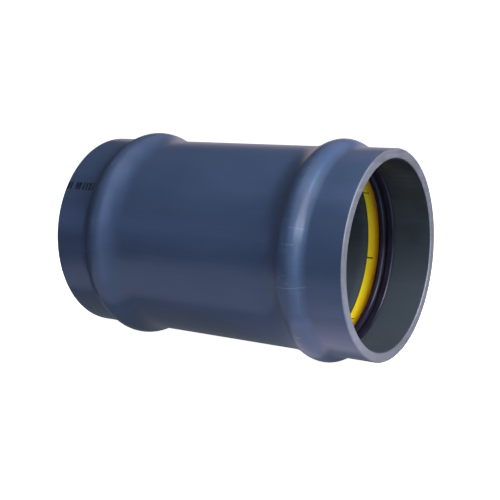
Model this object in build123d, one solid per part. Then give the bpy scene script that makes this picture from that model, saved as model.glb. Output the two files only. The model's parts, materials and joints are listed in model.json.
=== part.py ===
"""Push fit slip coupling for 160 mm PVC-U pressure pipe, with a seal and a retaining ring in each end.

Frame: +X runs along the bore and out of the right socket, +Z is up, and the origin is the centre of
the bore. All sizes are in millimetres. A section point is a depth in from the mouth and a radius.
"""
from build123d import *
import os

# Tube
coupling_length = 292.5
bore_radius = 80.5          # 0.5 mm more than the 160 mm pipe on every side
barrel_radius = 88.2        # outside, between the two bulges
socket_radius = 88.8        # outside, from the mouth to the bulge
saw_chamfer = 0.8           # all four edges of the sawn mouths

# Bulge and seal groove, formed in the wall. Depths are where the plain socket ends, where the wall is
# widest and where it has run out into the barrel. Crest arcs are radii; the foot arcs follow from them.
bulge_depths = (30.5, 47.5, 76.0)
bulge_radius = 95.4
bulge_mouth_arc = 14.0
bulge_deep_arc = 17.5
groove_depths = (33.3, 47.3, 71.8)
groove_radius = 87.5
groove_mouth_arc = 3.0
groove_deep_arc = 18.0

# Both rings are drawn out to a radius inside the tube's wall, and the tube trims them to the groove
inside_wall = 88.2

# Lip seal: corners of its section as depth, radius and corner rounding
seal_end_depth = 52.5
seal_corners = [
    (35.6, 80.1, 0.5),
    (36.6, 79.0, 0.8),
    (41.4, 78.5, 1.0),
    (43.0, 81.0, 0.7),
    (44.9, 77.3, 1.4),
    (48.9, 76.8, 1.5),
    (50.2, 80.6, 0.4),
    (51.6, 81.4, 0.0),
    (seal_end_depth, inside_wall, 0.0),
    (35.6, inside_wall, 0.0),
]

# Retaining ring: the tongue reaches into the rubber, and the inner face is slightly barrelled
ring_end_depth = 62.4
ring_edge = 81.3            # radius where the inner face meets either edge
ring_crest = (56.3, 80.85)  # clear of the pipe
tongue_corners = [(50.2, 82.9), (48.0, 83.3), (48.0, 84.9), (51.4, 85.3)]
notch_count = 8
notch_start_angle = 32.0    # from +Y towards +Z
notch_length = 6.0
notch_width = 1.1
notch_cut = 1.6             # into the inner face


def at(side, depth, radius):
    """Section point at a depth in from the mouth of the right (+1) or left (-1) socket."""
    return Vector(side * (coupling_length / 2 - depth), radius)


def flank(foot, crest, crest_arc):
    """An S of two tangent arcs that leaves the foot and reaches the crest along the bore."""
    run = crest.X - foot.X
    rise = crest.Y - foot.Y
    foot_arc = (run**2 + rise**2) / (2 * rise) - crest_arc
    foot_centre = foot + Vector(0, foot_arc)
    crest_centre = crest - Vector(0, crest_arc)
    join = foot_centre + (crest_centre - foot_centre) * (foot_arc / (foot_arc + crest_arc))
    heading = Vector(run, 0).normalized()
    return [
        TangentArc(foot, join, tangent=heading),
        TangentArc(crest, join, tangent=-heading),
    ]


def swell(side, depths, radii, mouth_arc, deep_arc):
    """The bulge or the groove, from the plain socket over its crest to the barrel."""
    mouth_foot, crest, deep_foot = [at(side, *point) for point in zip(depths, radii)]
    return flank(mouth_foot, crest, mouth_arc) + flank(deep_foot, crest, deep_arc)


def mouth(side):
    """The sawn end: plain socket wall outside, two chamfers, and plain bore inside."""
    return Polyline(
        at(side, bulge_depths[0], socket_radius),
        at(side, saw_chamfer, socket_radius),
        at(side, 0, socket_radius - saw_chamfer),
        at(side, 0, bore_radius + saw_chamfer),
        at(side, saw_chamfer, bore_radius),
        at(side, groove_depths[0], bore_radius),
    ).edges()


def make_body():
    """The one-piece tube with both sockets."""
    bulge_radii = (socket_radius, bulge_radius, barrel_radius)
    groove_radii = (bore_radius, groove_radius, bore_radius)
    outline = []
    for side in (1, -1):
        outline += mouth(side)
        outline += swell(side, bulge_depths, bulge_radii, bulge_mouth_arc, bulge_deep_arc)
        outline += swell(side, groove_depths, groove_radii, groove_mouth_arc, groove_deep_arc)
    for depth, radius in ((bulge_depths[2], barrel_radius), (groove_depths[2], bore_radius)):
        outline.append(Line(at(-1, depth, radius), at(1, depth, radius)))
    return revolve(make_face(outline), axis=Axis.X)


def make_ring(side, body):
    """The stiff plastic ring behind the rubber, with notches in the edge away from the mouth."""
    front = at(side, tongue_corners[0][0], ring_edge)
    back = at(side, ring_end_depth, ring_edge)
    outer_back = at(side, ring_end_depth, inside_wall)
    outer_front = at(side, seal_end_depth, inside_wall)
    tongue = [at(side, *corner) for corner in tongue_corners]
    edges = ThreePointArc(front, at(side, *ring_crest), back).edges()
    edges += Polyline(back, outer_back, outer_front, *reversed(tongue), front).edges()
    ring = revolve(make_face(edges), axis=Axis.X) - body
    notch_x = at(side, ring_end_depth - notch_length / 2, 0).X
    notch_middle = ring_crest[1] + notch_cut / 2
    notch = Pos(notch_x, notch_middle, 0) * Box(notch_length, notch_cut, notch_width)
    for index in range(notch_count):
        ring -= Rot(X=notch_start_angle + index * 360 / notch_count) * notch
    return ring


def make_seal(side, body, ring):
    """The rubber lip seal, with its lips in their free state, as wide as before a pipe goes in."""
    points = [at(side, depth, radius) for depth, radius, rounding in seal_corners]
    roundings = [rounding for depth, radius, rounding in seal_corners]
    section = make_face(FilletPolyline(*points, radius=roundings, close=True).edges())
    return revolve(section, axis=Axis.X) - body - ring


def main():
    os.makedirs("parts", exist_ok=True)
    body = make_body()
    nodes = {"coupling_body": body}
    for name, side in (("right", 1), ("left", -1)):
        ring = make_ring(side, body)
        nodes["retaining_ring_" + name] = ring
        nodes["lip_seal_" + name] = make_seal(side, body, ring)
    for node, solid in nodes.items():
        export_step(solid, os.path.join("parts", node + ".step"))


main()
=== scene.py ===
import json
import math

import bpy
import numpy as np
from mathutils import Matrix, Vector, noise


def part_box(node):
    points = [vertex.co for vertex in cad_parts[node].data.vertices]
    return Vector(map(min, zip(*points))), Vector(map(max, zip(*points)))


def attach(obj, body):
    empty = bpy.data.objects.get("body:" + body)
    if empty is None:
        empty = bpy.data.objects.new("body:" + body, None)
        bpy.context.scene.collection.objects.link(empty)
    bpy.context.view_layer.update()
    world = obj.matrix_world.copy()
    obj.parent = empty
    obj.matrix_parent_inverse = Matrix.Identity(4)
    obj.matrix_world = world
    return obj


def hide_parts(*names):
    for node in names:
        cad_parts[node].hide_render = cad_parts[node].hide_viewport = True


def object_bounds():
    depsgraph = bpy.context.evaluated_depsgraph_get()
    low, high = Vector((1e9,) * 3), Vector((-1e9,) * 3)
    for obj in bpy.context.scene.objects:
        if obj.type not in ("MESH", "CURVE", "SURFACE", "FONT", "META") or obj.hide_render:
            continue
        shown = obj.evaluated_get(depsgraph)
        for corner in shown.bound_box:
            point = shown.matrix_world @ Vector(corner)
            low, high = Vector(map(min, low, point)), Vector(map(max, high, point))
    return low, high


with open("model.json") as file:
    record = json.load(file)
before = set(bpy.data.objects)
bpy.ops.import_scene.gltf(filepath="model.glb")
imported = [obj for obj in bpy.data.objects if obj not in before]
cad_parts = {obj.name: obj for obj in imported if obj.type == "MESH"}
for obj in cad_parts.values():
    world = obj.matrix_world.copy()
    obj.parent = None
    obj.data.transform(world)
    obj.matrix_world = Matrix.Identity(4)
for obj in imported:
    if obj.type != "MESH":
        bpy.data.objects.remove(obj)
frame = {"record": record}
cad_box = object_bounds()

# A push fit slip coupling lies on a studio floor. Metres; +X runs along the bore, out of the right socket.
MM = 0.001
BODY = "root"

# ---------------------------------------------------------------------------------------------
# Sizes that come from the frame
# ---------------------------------------------------------------------------------------------
low, high = cad_box
half_length = high.x
bulge_radius = high.z
bore_mount = next(m for m in frame["record"]["mounts"] if m["name"] == "socket_right")
bore_radius = bore_mount["dims"]["r_mm"] * MM
plain_depth = half_length - bore_mount["pos_m"][0] + bore_mount["dims"]["length_mm"] * MM / 2
seal_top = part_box("lip_seal_right")[1]
ring_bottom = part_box("retaining_ring_right")[0]
groove_radius = seal_top.z
seal_mouth_depth = half_length - seal_top.x
ring_end_depth = half_length - ring_bottom.x

# Wall of the tube, which the frame gives only as a mesh. Depths are where the plain socket ends,
# where the wall is widest and where it has run out into the barrel; crest arcs are radii.
barrel_radius = 88.2 * MM
socket_radius = 88.8 * MM
bulge_depths = (30.5 * MM, 47.5 * MM, 76.0 * MM)
bulge_arcs = (14.0 * MM, 17.5 * MM)
groove_depths = (plain_depth, plain_depth + 14.0 * MM, plain_depth + 38.5 * MM)
groove_arcs = (3.0 * MM, 18.0 * MM)
rim_chamfer = 0.8 * MM
rim_rounding = 0.25 * MM

# Lip seal: corners of its section as depth, radius and rounding in mm, without its back in the groove.
# The three roundings of 1.6 and 2.6 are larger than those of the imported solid.
seal_end_depth = 52.5 * MM
seal_corners = [
    (35.6, 80.1, 1.6), (36.6, 79.0, 1.6), (41.4, 78.5, 1.0), (43.0, 81.0, 0.7),
    (44.9, 77.3, 2.6), (48.9, 76.8, 1.5), (50.2, 80.6, 0.4), (51.6, 81.4, 0.0),
]

# Retaining ring: a slightly barrelled inner face, and notches in the edge away from the mouth
ring_start_depth = 50.2 * MM
ring_crest_depth = 56.3 * MM
ring_crest = 80.85 * MM
ring_edge = 81.3 * MM
notch_count = 8
notch_start_angle = 32.0    # degrees from +Y towards +Z
notch_length = 6.0 * MM
notch_width = 1.1 * MM
notch_cut = 1.6 * MM
ring_chamfer = 0.3 * MM     # at the inner edge away from the mouth
notch_slope = 0.06 * MM     # that a notch's walls lean by, so that they stay sharp
lip_shade_depths = (51.5 * MM, 60.5 * MM)   # between which the painted shade of the rubber lip fades the ring's colour from deep to bright

COLUMNS = 288               # around the bore
FINE_STEP = 0.9 * MM        # along the bulges
COARSE_STEP = 4.0 * MM      # along the straight walls


# ---------------------------------------------------------------------------------------------
# Camera
# ---------------------------------------------------------------------------------------------
def place_camera():
    """A long lens from the right front, a little above the coupling's middle."""
    azimuth, elevation = math.radians(33.2), math.radians(9.22)
    distance, lens = 0.888, 70.57
    across, above = 5.0 * MM, -7.8 * MM
    back = Vector((
        math.sin(azimuth) * math.cos(elevation),
        -math.cos(azimuth) * math.cos(elevation),
        math.sin(elevation),
    ))
    right = Vector((math.cos(azimuth), math.sin(azimuth), 0))
    up = back.cross(right)
    camera = bpy.data.objects.new("camera", bpy.data.cameras.new("camera"))
    camera.data.lens = lens
    camera.data.clip_start, camera.data.clip_end = 0.01, 50
    camera.rotation_mode = "QUATERNION"
    camera.rotation_quaternion = (-back).to_track_quat("-Z", "Y")
    camera.location = back * distance + right * across + up * above
    bpy.context.scene.collection.objects.link(camera)
    bpy.context.scene.camera = camera


# ---------------------------------------------------------------------------------------------
# Sections: lists of (depth from the mouth, radius), which a lathe turns about the bore
# ---------------------------------------------------------------------------------------------
def flank(foot, crest, crest_arc, step=FINE_STEP):
    """Points of the S of two tangent arcs from a foot to a crest, both ends along the bore."""
    run, rise = crest[0] - foot[0], crest[1] - foot[1]
    foot_arc = (run**2 + rise**2) / (2 * rise) - crest_arc
    join = abs(run) * foot_arc / (foot_arc + crest_arc)
    points = []
    for gone in np.linspace(0, abs(run), max(4, round(abs(run) / step)) + 1):
        if gone < join:
            height = foot_arc - math.sqrt(foot_arc**2 - gone**2)
        else:
            height = rise - crest_arc + math.sqrt(crest_arc**2 - (abs(run) - gone) ** 2)
        points.append((foot[0] + math.copysign(gone, run), foot[1] + height))
    return points


def swell(depths, radii, arcs):
    """A bulge or a groove, from the plain socket over its crest to the barrel."""
    mouth_foot, crest, deep_foot = zip(depths, radii)
    rise = flank(mouth_foot, crest, arcs[0])
    fall = flank(deep_foot, crest, arcs[1])
    return rise + fall[::-1][1:]


def straight(start, end, step=COARSE_STEP):
    """Points along a plain wall, without its last one."""
    count = max(1, round(math.dist(start, end) / step))
    return [
        (start[0] + (end[0] - start[0]) * i / count, start[1] + (end[1] - start[1]) * i / count)
        for i in range(count)
    ]


def round_corners(corners, steps=5):
    """A closed section from corners of (depth, radius, rounding), each rounded by a small arc."""
    points = []
    for index, (depth, radius, rounding) in enumerate(corners):
        corner = Vector((depth, radius))
        before = (Vector(corners[index - 1][:2]) - corner).normalized()
        after = (Vector(corners[(index + 1) % len(corners)][:2]) - corner).normalized()
        if rounding == 0:
            points.append(tuple(corner))
            continue
        half_turn = before.angle(after) / 2
        centre = corner + (before + after).normalized() * rounding / math.sin(half_turn)
        start = corner + before * rounding / math.tan(half_turn) - centre
        end = corner + after * rounding / math.tan(half_turn) - centre
        for i in range(steps + 1):
            spoke = start.lerp(end, i / steps)
            points.append(tuple(centre + spoke.normalized() * rounding))
    return points


# ---------------------------------------------------------------------------------------------
# Mesh making
# ---------------------------------------------------------------------------------------------
def even_angles(count):
    return [2 * math.pi * i / count for i in range(count)]


def lathe(name, section, angles, shift=None, choose=None):
    """Turns a closed section of (x, radius) points about the bore. shift(x, radius, angle) gives a
    point's own radius, and choose(row) a face row's material number."""
    rows, columns = len(section), len(angles)
    vertices = []
    for x, radius in section:
        for angle in angles:
            own = shift(x, radius, angle) if shift else radius
            vertices.append((x, -own * math.cos(angle), own * math.sin(angle)))
    faces, numbers = [], []
    for row in range(rows):
        for column in range(columns):
            a, b = row * columns, ((row + 1) % rows) * columns
            c = (column + 1) % columns
            faces.append((a + column, a + c, b + c, b + column))
            numbers.append(choose(row) if choose else 0)
    mesh = bpy.data.meshes.new(name)
    mesh.from_pydata(vertices, [], faces)
    mesh.polygons.foreach_set("material_index", numbers)
    mesh.polygons.foreach_set("use_smooth", [True] * len(faces))
    mesh.update()
    piece = bpy.data.objects.new(name, mesh)
    bpy.context.scene.collection.objects.link(piece)
    return piece


def outward(piece):
    """Turns the faces outward if the section ran the other way round."""
    mesh = piece.data
    total = 0.0
    for polygon in mesh.polygons:
        total += polygon.center.dot(polygon.normal) * polygon.area
    if total < 0:
        mesh.flip_normals()
    return piece


def sharpen(piece, degrees):
    """Keeps the edges that turn by more than an angle sharp, on a piece that is otherwise smooth."""
    mesh = piece.data
    normals = [polygon.normal.copy() for polygon in mesh.polygons]
    beside = {}
    for polygon in mesh.polygons:
        for key in polygon.edge_keys:
            beside.setdefault(key, []).append(polygon.index)
    for edge in mesh.edges:
        pair = beside[tuple(sorted(edge.vertices))]
        if len(pair) == 2:
            edge.use_edge_sharp = normals[pair[0]].angle(normals[pair[1]], 0) > math.radians(degrees)


def finish_piece(piece, node, slot, *materials):
    """Gives a piece its materials, hangs it on the body and hides the imported part that it replaces."""
    for material in materials:
        piece.data.materials.append(material)
    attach(piece, BODY)
    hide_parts(node)


# ---------------------------------------------------------------------------------------------
# Materials
# ---------------------------------------------------------------------------------------------
def linear(colour):
    """An sRGB hex value as linear red, green, blue and full opacity."""
    values = [int(colour[i:i + 2], 16) / 255 for i in (0, 2, 4)]
    return [v / 12.92 if v <= 0.04045 else ((v + 0.055) / 1.055) ** 2.4 for v in values] + [1.0]


def add(tree, kind, links=None, **settings):
    """Adds a node. A setting is a property, an input by its name with _ for a space, or in_ and the
    input's number. links says which output goes to which input, by name or number."""
    node = tree.nodes.new(kind)
    for name, value in settings.items():
        if name.startswith("in_"):
            node.inputs[int(name[3:])].default_value = value
        elif hasattr(node, name):
            setattr(node, name, value)
        else:
            node.inputs[name.replace("_", " ")].default_value = value
    for name, output in (links or {}).items():
        tree.links.new(output, node.inputs[name])
    return node


def start_material(name, roughness, ior, **settings):
    """A Principled material with its constants set on the shader's own sockets."""
    material = bpy.data.materials.new(name)
    material.use_nodes = True
    tree = material.node_tree
    shader = tree.nodes["Principled BSDF"]
    shader.inputs["Roughness"].default_value = roughness
    shader.inputs["IOR"].default_value = ior
    for setting, value in settings.items():
        shader.inputs[setting.replace("_", " ")].default_value = value
    place = add(tree, "ShaderNodeTexCoord").outputs["Object"]
    return material, tree, shader, place


def grain(tree, place, spacing, detail=3.0, low=0.35, high=0.65):
    """Noise from 0 to 1 with its own spacing in mm along X, Y and Z: long along X is drawn lengthwise."""
    size = [1 / (s * MM) for s in spacing]
    scaled = add(tree, "ShaderNodeMapping", {"Vector": place}, Scale=size).outputs["Vector"]
    texture = add(tree, "ShaderNodeTexNoise", {"Vector": scaled}, Scale=1.0, Detail=detail)
    return add(tree, "ShaderNodeMapRange", {"Value": texture.outputs["Fac"]},
               From_Min=low, From_Max=high).outputs["Result"]


def blend_colour(tree, share, first, second, method="MIX"):
    """Mixes two colours, each a hex value or a node's output, by a share from 0 to 1."""
    node = add(tree, "ShaderNodeMix", {0: share}, data_type="RGBA", blend_type=method)
    for socket, colour in ((6, first), (7, second)):
        if isinstance(colour, str):
            node.inputs[socket].default_value = linear(colour)
        else:
            tree.links.new(colour, node.inputs[socket])
    return node.outputs[2]


def total(tree, *parts):
    """The sum of several (output, weight) pairs."""
    running = None
    for output, weight in parts:
        if running is None:
            running = add(tree, "ShaderNodeMath", {0: output}, operation="MULTIPLY", in_1=weight)
        else:
            running = add(tree, "ShaderNodeMath", {0: output, 2: running.outputs[0]},
                          operation="MULTIPLY_ADD", in_1=weight)
    return running.outputs[0]


def product(tree, first, second):
    return add(tree, "ShaderNodeMath", {0: first, 1: second}, operation="MULTIPLY").outputs[0]


def relief(tree, shader, height, depth):
    """Bump of a real depth in mm, from a height between 0 and 1."""
    bump = add(tree, "ShaderNodeBump", {"Height": height}, Distance=depth * MM)
    tree.links.new(bump.outputs["Normal"], shader.inputs["Normal"])


def round_the_bore(tree, place):
    """X, the distance from the bore's axis, and the angle from the front upwards."""
    split = add(tree, "ShaderNodeSeparateXYZ", {"Vector": place})
    x, y, z = (split.outputs[i] for i in range(3))
    front = add(tree, "ShaderNodeMath", {0: y}, operation="MULTIPLY", in_1=-1.0).outputs[0]
    flat = add(tree, "ShaderNodeCombineXYZ", {"Y": y, "Z": z}).outputs[0]
    radius = add(tree, "ShaderNodeVectorMath", {0: flat}, operation="LENGTH").outputs["Value"]
    angle = add(tree, "ShaderNodeMath", {0: z, 1: front}, operation="ARCTAN2").outputs[0]
    return x, radius, angle


# Ink blocks as depths in mm from the left mouth, long scratches as X from, X to and turn up from the
# front, and specks as X, turn, radius and size
ink_blocks = [
    (1.0, 4.2), (5.2, 7.0), (11.0, 17.6), (19.6, 21.8), (23.2, 25.4), (27.0, 29.2), (30.8, 32.4),
]
long_scratches = [(90, 115, -10.0), (100, 112, 19.0), (96, 106, 11.0)]
specks = [(-101.5, 9, 94.6, 1.0), (-101.5, -4, 94.6, 1.1), (-28.0, 1, 88.2, 0.8)]


def pvc_outside():
    """Extruded PVC-U, heated and formed over the rings: a semi-gloss blue-grey skin with lines drawn
    lengthwise, faint clouding, handling scuffs over the bulges, and a row of ink on one socket."""
    material, tree, shader, place = start_material("pvc_u_outside", 0.3, 1.5)
    x, radius, angle = round_the_bore(tree, place)
    clouds = grain(tree, place, (45, 22, 22), 3.0, 0.25, 0.75)
    drawn = grain(tree, place, (160, 3.0, 3.0), 3.0, 0.2, 0.8)
    skin = grain(tree, place, (1.6, 1.6, 1.6), 2.0)
    colour = blend_colour(tree, clouds, "364459", "3B4558")
    colour = blend_colour(tree, product(tree, drawn, clouds), colour, "404C63")

    # Scuffs: short lengthwise scratches where the crests rub on racks and other fittings
    worn = add(tree, "ShaderNodeMapRange", {"Value": radius},
               From_Min=bulge_radius - 2.2 * MM, From_Max=bulge_radius - 0.3 * MM).outputs["Result"]
    scratches = grain(tree, place, (16, 0.6, 0.6), 3.0, 0.60, 0.70)
    patches = grain(tree, place, (25, 14, 14), 2.0, 0.48, 0.66)
    scuffs = total(tree, (product(tree, product(tree, scratches, patches), worn), 0.5))
    for start, end, turn in long_scratches:
        middle, half = (start + end) / 2 * MM, (end - start) / 2 * MM
        along = add(tree, "ShaderNodeMath", {0: x}, operation="COMPARE", in_1=middle, in_2=half).outputs[0]
        across = add(tree, "ShaderNodeMath", {0: angle}, operation="COMPARE",
                     in_1=math.radians(turn), in_2=0.2 * MM / bulge_radius).outputs[0]
        scuffs = total(tree, (scuffs, 1.0), (product(tree, along, across), 0.3))
    colour = blend_colour(tree, scuffs, colour, "8C98AC")

    # Ink: rough blocks in a row, where a printer marks the socket
    row_angle = math.radians(34)
    row_half = 3.6 * MM / socket_radius
    in_row = add(tree, "ShaderNodeMath", {0: angle}, operation="COMPARE", in_1=row_angle, in_2=row_half)
    dots = grain(tree, place, (0.9, 0.9, 0.9), 1.0, 0.36, 0.46)
    ink = None
    for start, end in ink_blocks:
        middle = -half_length + (start + end) / 2 * MM
        half = (end - start) / 2 * MM
        block = add(tree, "ShaderNodeMath", {0: x}, operation="COMPARE",
                    in_1=middle, in_2=half).outputs[0]
        block = product(tree, block, in_row.outputs[0])
        ink = block if ink is None else total(tree, (ink, 1.0), (block, 1.0))
    ink = product(tree, ink, dots)
    colour = blend_colour(tree, ink, colour, "14151C")

    # Specks: small dark dots on the left bulge and the barrel
    for along, degrees, out, size in specks:
        turn = math.radians(degrees)
        middle = (along * MM, -math.cos(turn) * out * MM, math.sin(turn) * out * MM)
        gone = add(tree, "ShaderNodeVectorMath", {0: place}, operation="DISTANCE", in_1=middle)
        pit = add(tree, "ShaderNodeMapRange", {"Value": gone.outputs["Value"]},
                  From_Min=size * MM, From_Max=0.4 * size * MM)
        colour = blend_colour(tree, pit.outputs["Result"], colour, "1C1E28")

    tree.links.new(colour, shader.inputs["Base Color"])
    rough = total(tree, (clouds, 0.04), (drawn, 0.04), (scuffs, 0.18), (ink, -0.06))
    rough = add(tree, "ShaderNodeMath", {0: rough}, operation="ADD", in_1=0.27)
    tree.links.new(rough.outputs[0], shader.inputs["Roughness"])
    relief(tree, shader, total(tree, (drawn, 0.45), (skin, 0.25), (scuffs, -0.5)), 0.008)
    return material


def pvc_bore():
    """The same PVC-U inside, sized against a cooled mandrel: greyer, with faint lengthwise lines and faint
    pale clouding, and painted shade that makes it almost black overhead and lighter towards the bottom."""
    material, tree, shader, place = start_material("pvc_u_bore", 0.35, 1.5)
    drawn = grain(tree, place, (160, 3.0, 3.0), 3.0, 0.2, 0.8)
    dust = grain(tree, place, (24, 24, 24), 4.0, 0.25, 0.75)
    split = add(tree, "ShaderNodeSeparateXYZ", {"Vector": place})
    # Painted shade: the bore's colour runs from almost black overhead to a lighter grey at the bottom
    painted_shade_overhead = add(tree, "ShaderNodeMapRange", {"Value": split.outputs["Z"]},
                  interpolation_type="SMOOTHSTEP",
                  From_Min=80 * MM, From_Max=-60 * MM).outputs["Result"]
    colour = blend_colour(tree, painted_shade_overhead, "1B1917", "383B3E")
    colour = blend_colour(tree, product(tree, drawn, dust), colour, "3B4043")
    tree.links.new(colour, shader.inputs["Base Color"])
    rough = total(tree, (drawn, 0.05), (dust, 0.06))
    rough = add(tree, "ShaderNodeMath", {0: rough}, operation="ADD", in_1=0.3)
    tree.links.new(rough.outputs[0], shader.inputs["Roughness"])
    relief(tree, shader, drawn, 0.005)
    return material


def pvc_sawn():
    """PVC-U cut square by a saw: matt, whitened by the teeth, with lines drawn across the face."""
    material, tree, shader, place = start_material("pvc_u_sawn", 0.5, 1.54)
    teeth = grain(tree, place, (40, 40, 0.8), 4.0)
    blotches = grain(tree, place, (9, 9, 9), 2.0)
    colour = blend_colour(tree, teeth, "4A4647", "504C4D")
    colour = blend_colour(tree, product(tree, blotches, teeth), colour, "5C5859")
    tree.links.new(colour, shader.inputs["Base Color"])
    rough = total(tree, (teeth, 0.12), (blotches, 0.06))
    rough = add(tree, "ShaderNodeMath", {0: rough}, operation="ADD", in_1=0.42)
    tree.links.new(rough.outputs[0], shader.inputs["Roughness"])
    relief(tree, shader, teeth, 0.03)
    return material


def epdm_rubber():
    """Moulded EPDM, black with a violet-grey bloom: satin, with turned rings left by the mould and a
    soft bright edge on each lip."""
    material, tree, shader, place = start_material("epdm_rubber", 0.35, 1.5, Specular_IOR_Level=0.1)
    x, radius, angle = round_the_bore(tree, place)
    section = add(tree, "ShaderNodeCombineXYZ", {"X": x, "Y": radius}).outputs[0]
    turned = grain(tree, section, (0.8, 0.8, 1.0), 2.0, 0.25, 0.75)
    bloom = grain(tree, place, (14, 14, 14), 3.0, 0.3, 0.7)
    colour = blend_colour(tree, bloom, "161218", "1F1A24")
    tree.links.new(colour, shader.inputs["Base Color"])
    rough = total(tree, (bloom, 0.06), (turned, 0.02))
    rough = add(tree, "ShaderNodeMath", {0: rough}, operation="ADD", in_1=0.2)
    tree.links.new(rough.outputs[0], shader.inputs["Roughness"])
    relief(tree, shader, turned, 0.006)
    return material


def yellow_polypropylene():
    """Injection-moulded polypropylene: a waxy, slightly see-through yellow, with painted shade of the
    rubber lip that turns it deep amber towards the rubber, faint flow lines round it, and painted shade
    that darkens its notches."""
    material, tree, shader, place = start_material(
        "yellow_polypropylene", 0.4, 1.49, Subsurface_Weight=0.15, Subsurface_Scale=2 * MM)
    shader.inputs["Subsurface Radius"].default_value = (1.0, 0.6, 0.15)
    x, radius, angle = round_the_bore(tree, place)
    from_middle = add(tree, "ShaderNodeMath", {0: x}, operation="ABSOLUTE").outputs[0]
    # Painted shade: the rubber lip's shadow, painted as a fade to deep amber on the ring's side next to the
    # rubber
    painted_lip_shade = add(tree, "ShaderNodeMapRange", {"Value": from_middle},
                From_Min=half_length - lip_shade_depths[1],
                From_Max=half_length - lip_shade_depths[0]).outputs["Result"]
    section = add(tree, "ShaderNodeCombineXYZ", {"X": x, "Y": radius}).outputs[0]
    flow = grain(tree, section, (0.8, 0.8, 1.0), 2.0)
    waxy = grain(tree, place, (12, 12, 12), 3.0)
    colour = blend_colour(tree, waxy, "FFDC22", "FFD418")
    colour = blend_colour(tree, painted_lip_shade, colour, "C88000")
    # Painted shade: the notches' floors lie deep in shade and are painted almost black
    painted_notch_shade = add(tree, "ShaderNodeMapRange", {"Value": radius},
               From_Min=ring_edge + 0.1 * MM, From_Max=ring_edge + 0.3 * MM).outputs["Result"]
    colour = blend_colour(tree, painted_notch_shade, colour, "120E06")
    tree.links.new(colour, shader.inputs["Base Color"])
    rough = total(tree, (waxy, 0.1), (flow, 0.06))
    rough = add(tree, "ShaderNodeMath", {0: rough}, operation="ADD", in_1=0.34)
    tree.links.new(rough.outputs[0], shader.inputs["Roughness"])
    relief(tree, shader, flow, 0.015)
    return material


def studio_paper():
    """White background paper: pale and matt, bright enough that only a soft shadow shows on it."""
    material, tree, shader, place = start_material("studio_paper", 0.95, 1.45)
    fibres = grain(tree, place, (30, 30, 30), 3.0)
    tree.links.new(blend_colour(tree, fibres, "F2F2F3", "F5F5F5"), shader.inputs["Base Color"])
    shader.inputs["Emission Color"].default_value = linear("FFFFFF")
    shader.inputs["Emission Strength"].default_value = 1.0
    return material


# ---------------------------------------------------------------------------------------------
# Pieces
# ---------------------------------------------------------------------------------------------
def mirrored(points):
    """The left half of a section from the right half's, back in the other direction."""
    return [(-x, radius) for x, radius in reversed(points)]


def tube_section():
    """The tube's closed section, as points of (x, radius)."""
    outside = straight((rim_chamfer, socket_radius), (bulge_depths[0], socket_radius))
    outside += swell(bulge_depths, (socket_radius, bulge_radius, barrel_radius), bulge_arcs)
    outside += straight((bulge_depths[2], barrel_radius), (half_length, barrel_radius))[1:]
    inside = straight((rim_chamfer, bore_radius), (groove_depths[0], bore_radius))
    inside += swell(groove_depths, (bore_radius, groove_radius, bore_radius), groove_arcs)
    inside += straight((groove_depths[2], bore_radius), (half_length, bore_radius))[1:]
    rim = round_corners([
        (rim_chamfer * 6, socket_radius, 0),
        (rim_chamfer, socket_radius, rim_rounding),
        (0, socket_radius - rim_chamfer, rim_rounding),
        (0, bore_radius + rim_chamfer, rim_rounding),
        (rim_chamfer, bore_radius, rim_rounding),
        (rim_chamfer * 6, bore_radius, 0),
    ])[1:-1]
    face = len(rim) // 2
    across = straight(rim[face - 1], rim[face], 1.5 * MM)[1:]
    rim = rim[:face] + across + rim[face:]

    def placed(points):
        return [(half_length - depth, radius) for depth, radius in points]

    right_outside, right_inside, right_rim = placed(outside), placed(inside), placed(rim)
    middle_out, middle_in = [(0, barrel_radius)], [(0, bore_radius)]
    section = right_rim + right_inside[1:] + middle_in + mirrored(right_inside[1:])
    section += [(-x, radius) for x, radius in reversed(right_rim)]
    section += [(-x, radius) for x, radius in right_outside[1:]] + middle_out
    section += [(x, radius) for x, radius in reversed(right_outside[1:])]
    return section


def wavering(x, radius, angle):
    """The slight unevenness of a wall that was heated and formed over the rings."""
    place = Vector((x * 14, math.cos(angle) * 1.3, math.sin(angle) * 1.3))
    swollen = max(0.0, min(1.0, (radius - socket_radius) / (bulge_radius - socket_radius)))
    return radius + (0.03 + 0.12 * swollen) * MM * noise.noise(place)


def make_tube():
    section = tube_section()
    rim_edge = half_length - 1.5 * rim_chamfer

    def choose(row):
        ends = (section[row], section[(row + 1) % len(section)])
        if all(abs(x) > rim_edge for x, radius in ends):
            return 2
        return 1 if max(radius for x, radius in ends) < groove_radius + 0.1 * MM else 0

    tube = outward(lathe("coupling_tube", section, even_angles(COLUMNS), wavering, choose))
    finish_piece(tube, "coupling_body", "pvc_tube", pvc_outside(), pvc_bore(), pvc_sawn())


def groove_at(depth):
    """Radius of the groove's wall at a depth, just inside the wall itself."""
    wall = swell(groove_depths, (bore_radius, groove_radius, bore_radius), groove_arcs)
    return float(np.interp(depth, [p[0] for p in wall], [p[1] for p in wall]))


def along_groove(start, end, gap=0.02 * MM, count=26):
    """Points down the groove's wall between two depths, a hair inside it."""
    return [(depth, groove_at(depth) - gap) for depth in np.linspace(start, end, count)]


def make_seal(side, name, material):
    lips = [(d * MM, r * MM, rounding * MM) for d, r, rounding in seal_corners]
    back = [(d, r, 0) for d, r in along_groove(seal_end_depth, seal_mouth_depth)]
    section = round_corners(lips + back)
    points = [(side * (half_length - depth), radius) for depth, radius in section]
    seal = outward(lathe("lip_seal_rubber_" + name, points, even_angles(COLUMNS)))
    finish_piece(seal, "lip_seal_" + name, "seal_rubber", material)


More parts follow.
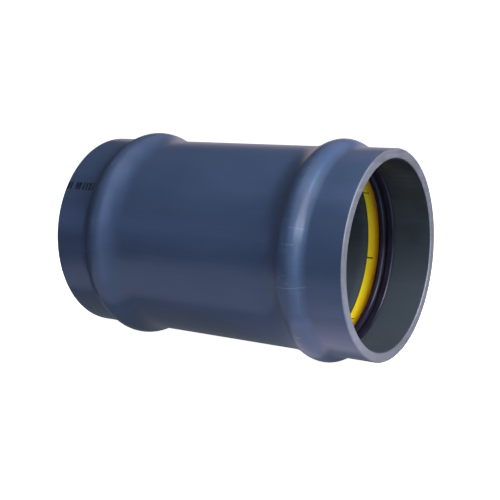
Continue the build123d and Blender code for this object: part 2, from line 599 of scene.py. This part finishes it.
def notch_angles():
    """Columns for the retaining ring: even ones, and a close pair at each side of each notch."""
    half = notch_width / 2 / ring_crest
    slope = notch_slope / ring_crest
    middles = [math.radians(notch_start_angle + i * 360 / notch_count) for i in range(notch_count)]
    angles = [
        a for a in even_angles(COLUMNS)
        if all(abs(turn_between(a, m)) > 1.5 * half for m in middles)
    ]
    for middle in middles:
        angles += [middle - half - slope, middle - half, middle + half, middle + half + slope]
    return sorted(a % (2 * math.pi) for a in angles), middles


def turn_between(first, second):
    return (first - second + math.pi) % (2 * math.pi) - math.pi


def make_ring(side, name, material):
    """The stiff ring behind the rubber: a barrelled inner face, and notches in its deep edge."""
    start, end = ring_start_depth, ring_end_depth - ring_chamfer
    notch_end = end - notch_length
    depths = sorted([*np.linspace(start, end, 22), notch_end, notch_end - notch_slope])
    inner = []
    for depth in depths:
        bow = ((depth - ring_crest_depth) / (start - ring_crest_depth)) ** 2
        inner.append((depth, ring_crest + (ring_edge - ring_crest) * bow, 0))
    back = [(d, r, 0) for d, r in along_groove(ring_end_depth, start + 1.5 * MM)]
    section = round_corners([(start + 0.2 * MM, ring_edge + 0.5 * MM, 0)] + inner + back)
    angles, middles = notch_angles()
    # Angles run from the front upwards, and the notches are counted from the back upwards
    turned = [math.pi - m for m in middles]
    angles = sorted((math.pi - a) % (2 * math.pi) for a in angles)

    def notched(x, radius, angle):
        depth = half_length - abs(x)
        inside = min(abs(turn_between(angle, m)) for m in turned) < notch_width / 2 / ring_crest + 1e-5
        if inside and depth >= notch_end and radius < ring_crest + notch_cut:
            return max(radius, min(radius + notch_cut, groove_at(depth) - 0.05 * MM))
        return radius

    points = [(side * (half_length - depth), radius) for depth, radius in section]
    ring = outward(lathe("retaining_ring_plastic_" + name, points, angles, notched))
    sharpen(ring, 35)
    finish_piece(ring, "retaining_ring_" + name, "ring_plastic", material)


# ---------------------------------------------------------------------------------------------
# Studio
# ---------------------------------------------------------------------------------------------
def area_light(name, where, turn, size, watts):
    """A studio light, unseen by the camera. watts are its red, green and blue power."""
    light = bpy.data.objects.new(name, bpy.data.lights.new(name, "AREA"))
    light.data.shape = "RECTANGLE"
    light.data.size, light.data.size_y = size
    light.data.energy = max(watts)
    light.data.color = [w / max(watts) for w in watts]
    light.location = where
    light.rotation_euler = turn
    light.visible_camera = False
    bpy.context.scene.collection.objects.link(light)


def softbox(name, azimuth, elevation, distance, size, watts):
    """A light that faces the coupling. Azimuth 0 is in front, on the -Y side, and 90 is on +X."""
    a, e = math.radians(azimuth), math.radians(elevation)
    away = Vector((math.sin(a) * math.cos(e), -math.cos(a) * math.cos(e), math.sin(e)))
    area_light(name, away * distance, away.to_track_quat("Z", "Y").to_euler(), size, watts)


def bounce(name, x, y, size, watts):
    """A low panel under the floor's level that throws light up, as white paper does."""
    area_light(name, (x, y, -bulge_radius - 5 * MM), (math.pi, 0, 0), size, watts)


def snoot(name, where, target, spread, watts):
    """A narrow light that reaches one place."""
    light = bpy.data.objects.new(name, bpy.data.lights.new(name, "SPOT"))
    light.data.energy = max(watts)
    light.data.color = [w / max(watts) for w in watts]
    light.data.spot_size = math.radians(spread)
    light.data.spot_blend = 0.6
    light.data.shadow_soft_size = 0.04
    light.location = where
    light.rotation_euler = (Vector(where) - Vector(target)).to_track_quat("Z", "Y").to_euler()
    bpy.context.scene.collection.objects.link(light)


def light_studio():
    """Most of these powers are the result of a least-squares solve by another program for one view,
    and some of those were retuned by hand. They aren't a designed rig, and leave the back dark."""
    softbox("side", 90, 24, 1.3, (0.36, 0.36), (18.0, 17.5, 20.0))
    softbox("side_high", 90, 42, 1.3, (0.36, 0.36), (4.0, 6.8, 10.8))
    softbox("key_low", 70, 10, 1.3, (0.45, 0.36), (5.4, 7.8, 10.0))
    softbox("key", 54, 24, 1.3, (0.36, 0.36), (1.7, 1.4, 0.9))
    softbox("key_high", 54, 42, 1.3, (0.36, 0.36), (1.2, 0.7, 0.1))
    softbox("camera_side", 38, 24, 1.3, (0.36, 0.36), (2.5, 3.1, 3.9))
    softbox("front", 5, 24, 1.3, (0.36, 0.36), (0.41, 0.53, 1.13))
    softbox("front_high", 5, 42, 1.3, (0.36, 0.36), (0.39, 0.44, 0.49))
    softbox("front_top", -15, 66, 1.3, (0.6, 0.4), (0.62, 0.79, 1.39))
    softbox("right_top", 45, 64, 1.3, (0.6, 0.4), (1.06, 1.22, 1.13))
    softbox("overhead", 0, 89, 1.3, (0.7, 0.7), (0.70, 0.67, 0.43))
    softbox("left_low", -45, 12, 1.3, (0.5, 0.4), (0.18, 0.26, 0.68))
    softbox("back_low", -158, 12, 1.6, (1.4, 0.7), (2.3, 1.85, 2.0))
    softbox("rim_low", 143, -14, 1.3, (0.5, 0.3), (0.60, 0.62, 0.68))
    softbox("back_high", 180, 50, 1.6, (1.4, 0.7), (0.9, 0.7, 0.6))
    bounce("bounce_front", 0, -0.2, (0.5, 0.22), (0.17, 0.19, 0.26))
    bounce("bounce_right", 0.3, -0.05, (0.2, 0.3), (0.38, 0.52, 0.78))
    bounce("bounce_under", 0, 0, (0.4, 0.16), (0.03, 0.035, 0.042))
    bounce("bounce_near", 0.13, -0.085, (0.14, 0.10), (0.034, 0.030, 0.038))
    snoot("into_bore", (1.07, -0.45, 0.59), (0.10, 0.068, -0.037), 3.8, (7.4, 6.6, 6.2))
    world = bpy.data.worlds.new("studio")
    world.use_nodes = True
    world.node_tree.nodes["Background"].inputs["Color"].default_value = linear("FFFFFF")
    world.node_tree.nodes["Background"].inputs["Strength"].default_value = 0.07
    bpy.context.scene.world = world


def make_sweep():
    """A round paper sweep: a flat floor that curves up far from the coupling into a pale wall. Only
    the camera sees it, so its brightness doesn't wash out the dark plastic."""
    floor_z = -bulge_radius - 0.1 * MM
    flat, curve, wall, columns = 2.4, 1.2, 4.0, 96
    profile = [(0.0, floor_z), (0.6, floor_z), (1.4, floor_z), (flat, floor_z)]
    for i in range(1, 13):
        turn = i / 12 * math.pi / 2
        profile.append((flat + curve * math.sin(turn), floor_z + curve * (1 - math.cos(turn))))
    profile.append((flat + curve, wall))
    vertices = [(r * math.cos(a), r * math.sin(a), z) for r, z in profile[1:] for a in even_angles(columns)]
    faces = [tuple(range(columns))]
    for row in range(len(profile) - 2):
        for column in range(columns):
            a, b, c = row * columns, (row + 1) * columns, (column + 1) % columns
            faces.append((a + column, b + column, b + c, a + c))
    mesh = bpy.data.meshes.new("studio_sweep")
    mesh.from_pydata(vertices, [], faces)
    mesh.polygons.foreach_set("use_smooth", [True] * len(faces))
    sweep = bpy.data.objects.new("studio_sweep", mesh)
    bpy.context.scene.collection.objects.link(sweep)
    mesh.materials.append(studio_paper())
    sweep.visible_diffuse = False
    sweep.visible_glossy = False
    sweep.visible_transmission = False
    sweep.visible_shadow = False


bpy.context.scene.view_settings.view_transform = "Standard"
place_camera()
make_tube()
rubber, yellow = epdm_rubber(), yellow_polypropylene()
for side, name in ((1, "right"), (-1, "left")):
    make_seal(side, name, rubber)
    make_ring(side, name, yellow)
make_sweep()
light_studio()
